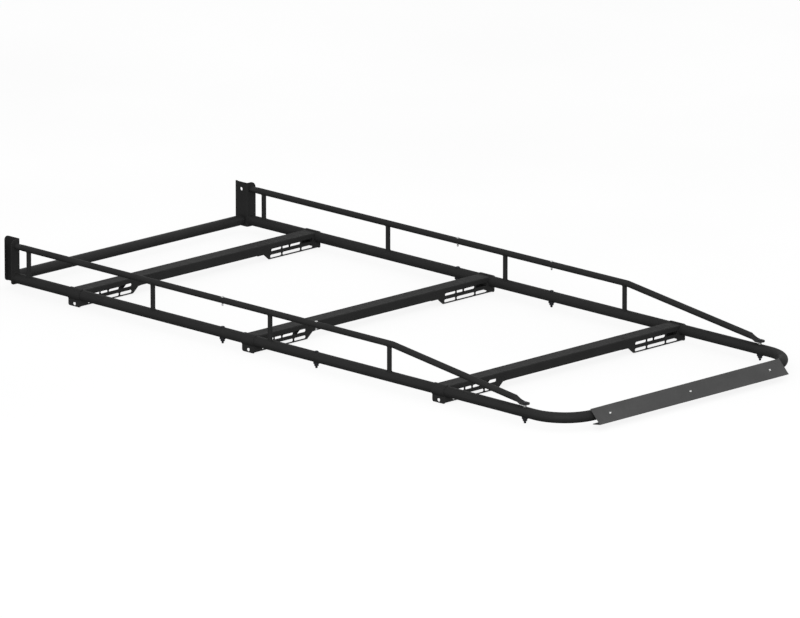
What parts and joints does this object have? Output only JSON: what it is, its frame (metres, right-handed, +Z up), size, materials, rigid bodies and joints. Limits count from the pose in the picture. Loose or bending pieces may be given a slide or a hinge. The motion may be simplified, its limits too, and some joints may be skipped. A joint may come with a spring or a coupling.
{
  "type": "roof cargo basket",
  "caption": "Low roof rack for a van: tube side rails that join in a front hoop, cross bars on slotted brackets, raised guard rails, a rear loading roller and a front wind deflector.",
  "frame": {"origin": "centre of the footprint, at the height of the lower ends of the six rail saddles", "axes": "+X forward, towards the wind deflector; +Y to the vehicle's left; +Z up"},
  "size_m": [3.182, 1.35, 0.205],
  "materials": {
    "black_powder_coat": "satin black powder coat, fine texture",
    "deflector_powder_coat": "satin dark powder coat, fine texture",
    "roller_powder_coat": "smooth black powder coat",
    "bare_steel": "drawn tube, lightly oiled",
    "zinc_plated_steel": "bright zinc plate",
    "black_zinc": "black zinc plate",
    "black_nylon": "moulded nylon",
    "black_rubber": "moulded rubber",
    "bush_plastic": "moulded acetal"
  },
  "bodies": {
    "rack_frame": {"side_rail_rear_left": "black_powder_coat", "side_rail_middle_left": "black_powder_coat", "side_rail_rear_right": "black_powder_coat", "side_rail_middle_right": "black_powder_coat", "front_hoop": "black_powder_coat", "guard_rail_rear_left": "black_powder_coat", "guard_rail_middle_left": "black_powder_coat", "guard_rail_front_left": "black_powder_coat", "guard_rail_rear_right": "black_powder_coat", "guard_rail_middle_right": "black_powder_coat", "guard_rail_front_right": "black_powder_coat", "rail_sleeves": "bare_steel", "guard_sleeves": "bare_steel", "post_1_left": "black_powder_coat", "post_1_right": "black_powder_coat", "post_2_left": "black_powder_coat", "post_2_right": "black_powder_coat", "post_3_left": "black_powder_coat", "post_3_right": "black_powder_coat", "post_4_left": "black_powder_coat", "post_4_right": "black_powder_coat", "cross_bar_rear": "black_powder_coat", "cross_bar_middle": "black_powder_coat", "cross_bar_front": "black_powder_coat", "end_bracket_rear_left": "black_powder_coat", "rail_saddle_rear_left": "black_powder_coat", "end_bracket_rear_right": "black_powder_coat", "rail_saddle_rear_right": "black_powder_coat", "end_bracket_middle_left": "black_powder_coat", "rail_saddle_middle_left": "black_powder_coat", "end_bracket_middle_right": "black_powder_coat", "rail_saddle_middle_right": "black_powder_coat", "end_bracket_front_left": "black_powder_coat", "rail_saddle_front_left": "black_powder_coat", "end_bracket_front_right": "black_powder_coat", "rail_saddle_front_right": "black_powder_coat", "end_plate_left": "black_powder_coat", "end_plate_right": "black_powder_coat", "roller_axles": "zinc_plated_steel", "roller_jam_nuts": "zinc_plated_steel", "roller_washers": "zinc_plated_steel", "wind_deflector": "deflector_powder_coat", "deflector_lugs": "black_powder_coat", "deflector_bolts": "zinc_plated_steel", "deflector_nuts": "zinc_plated_steel", "guard_end_plugs": "black_nylon", "guard_end_collars": "black_rubber", "guard_end_bolts": "black_zinc", "rail_splice_bolts": "black_zinc", "rail_cup_washers": "black_zinc", "rail_nuts": "black_zinc", "guard_splice_bolts": "zinc_plated_steel", "tab_bolts": "black_zinc", "tab_spacers": "zinc_plated_steel"},
    "rear_roller": {"roller_tube": "roller_powder_coat", "roller_plug_left": "black_nylon", "roller_plug_right": "black_nylon", "roller_bush_left": "bush_plastic", "roller_bush_right": "bush_plastic"}
  },
  "joints": [
    {"name": "rear_roller_spin", "type": "hinge", "parent": "rack_frame", "child": "rear_roller", "pos_m": [-1.551, 0, 0.048], "axis": [0, 1, 0], "continuous": true}
  ]
}
